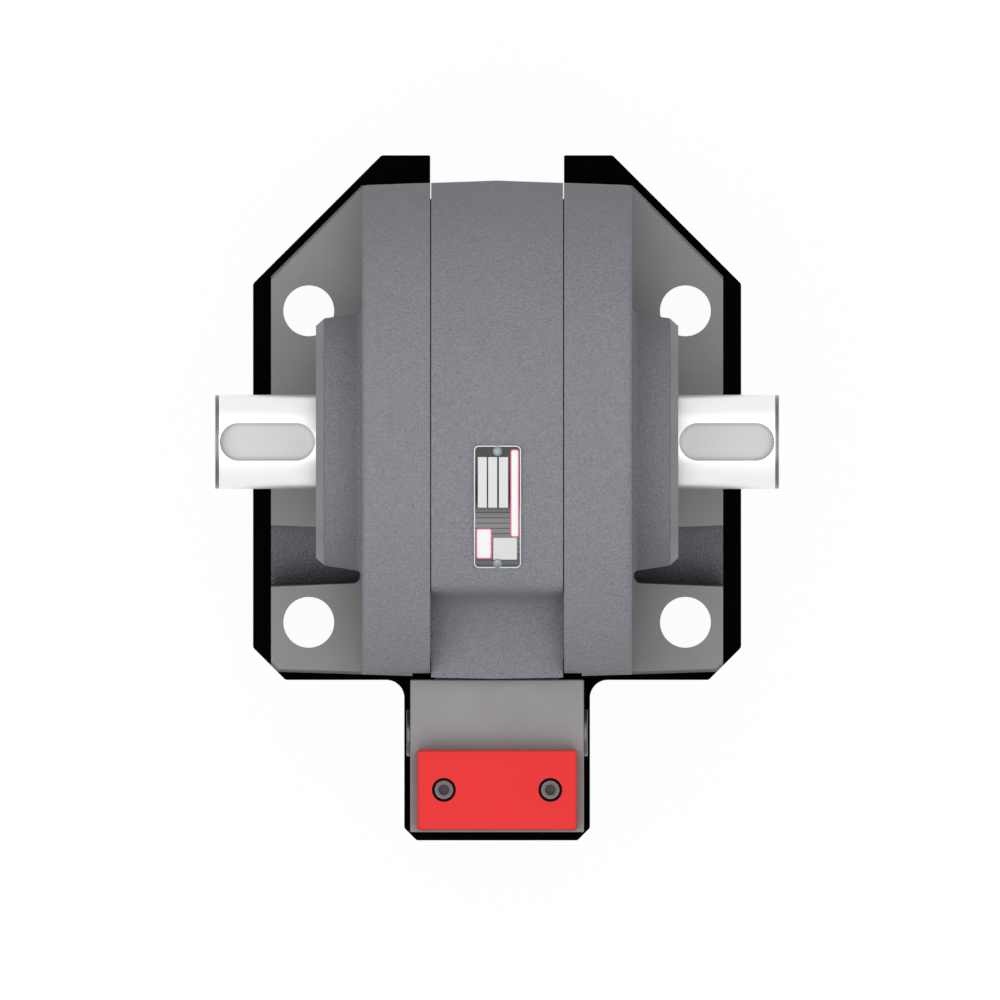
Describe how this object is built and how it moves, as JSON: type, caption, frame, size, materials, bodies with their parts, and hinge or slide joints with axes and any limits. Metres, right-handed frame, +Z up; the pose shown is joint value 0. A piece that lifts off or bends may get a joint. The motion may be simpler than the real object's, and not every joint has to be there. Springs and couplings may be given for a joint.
{
  "type": "hydraulic rotary actuator",
  "caption": "Foot-mounted vane-type hydraulic rotary actuator with a keyed shaft end on each side, a port block and a protective port cover.",
  "frame": {"origin": "centre of the four mounting holes on the underside of the base plate", "axes": "+X along the output shaft, +Y from the port block towards the open end of the plate's notch, +Z up from the mounting face"},
  "size_m": [0.3, 0.3638, 0.281],
  "materials": {
    "black_paint": "satin black paint",
    "black_screw": "black oxide",
    "ground_steel": "ground bright",
    "cast_iron": "fine sand cast, grey",
    "bearing_steel": "ground",
    "bronze": "machined bronze",
    "plain_steel": "machined",
    "seal_rubber": "nitrile rubber",
    "port_steel": "milled steel",
    "plug_steel": "dark zinc plated",
    "red_plastic": "smooth red plastic",
    "nameplate_aluminium": "printed plate, bare of text"
  },
  "bodies": {
    "housing": {"base_plate": "black_paint", "base_plate_screws": "black_screw", "port_block_screws": "black_screw", "stator_shoe_screws": "black_screw", "transit_cover_screws": "black_screw", "left_head_screws": "black_screw", "right_head_screws": "black_screw", "base_dowels": "ground_steel", "head_dowels": "ground_steel", "left_end_head": "cast_iron", "right_end_head": "cast_iron", "chamber_ring": "cast_iron", "left_bearing_outer_ring": "bearing_steel", "right_bearing_outer_ring": "bearing_steel", "left_thrust_washer": "bronze", "right_thrust_washer": "bronze", "left_bearing_spacer": "plain_steel", "right_bearing_spacer": "plain_steel", "left_retaining_ring": "plain_steel", "right_retaining_ring": "plain_steel", "stator_shoe": "plain_steel", "left_head_o_ring": "seal_rubber", "right_head_o_ring": "seal_rubber", "left_pressure_seal": "seal_rubber", "right_pressure_seal": "seal_rubber", "left_shaft_seal": "seal_rubber", "right_shaft_seal": "seal_rubber", "stator_shoe_seal": "seal_rubber", "port_block_o_rings": "seal_rubber", "side_plug_seals": "seal_rubber", "transit_cover_o_rings": "seal_rubber", "port_block": "port_steel", "side_port_plugs": "plug_steel", "transit_cover": "red_plastic", "nameplate": "nameplate_aluminium", "nameplate_rivets": "nameplate_aluminium"},
    "rotor": {"output_shaft": "ground_steel", "vane": "plain_steel", "vane_screws": "black_screw", "vane_dowels": "ground_steel", "vane_seal": "seal_rubber", "left_bearing_inner_ring": "bearing_steel", "right_bearing_inner_ring": "bearing_steel"},
    "left_cage": {"left_bearing_cage": "bronze", "left_bearing_rollers": "bearing_steel"},
    "right_cage": {"right_bearing_cage": "bronze", "right_bearing_rollers": "bearing_steel"}
  },
  "joints": [
    {"name": "shaft_rotation", "type": "hinge", "parent": "housing", "child": "rotor", "pos_m": [0, 0.0131, 0.14], "axis": [1, 0, 0], "range_deg": [-140, 140]},
    {"name": "left_cage_rotation", "type": "hinge", "parent": "housing", "child": "left_cage", "pos_m": [-0.061, 0.0131, 0.14], "axis": [1, 0, 0], "range_deg": [-60, 60]},
    {"name": "right_cage_rotation", "type": "hinge", "parent": "housing", "child": "right_cage", "pos_m": [0.061, 0.0131, 0.14], "axis": [1, 0, 0], "range_deg": [-60, 60]}
  ],
  "couplings": [
    {"joint": "left_cage_rotation", "follows": "shaft_rotation", "ratio": 0.4225},
    {"joint": "right_cage_rotation", "follows": "shaft_rotation", "ratio": 0.4225}
  ]
}
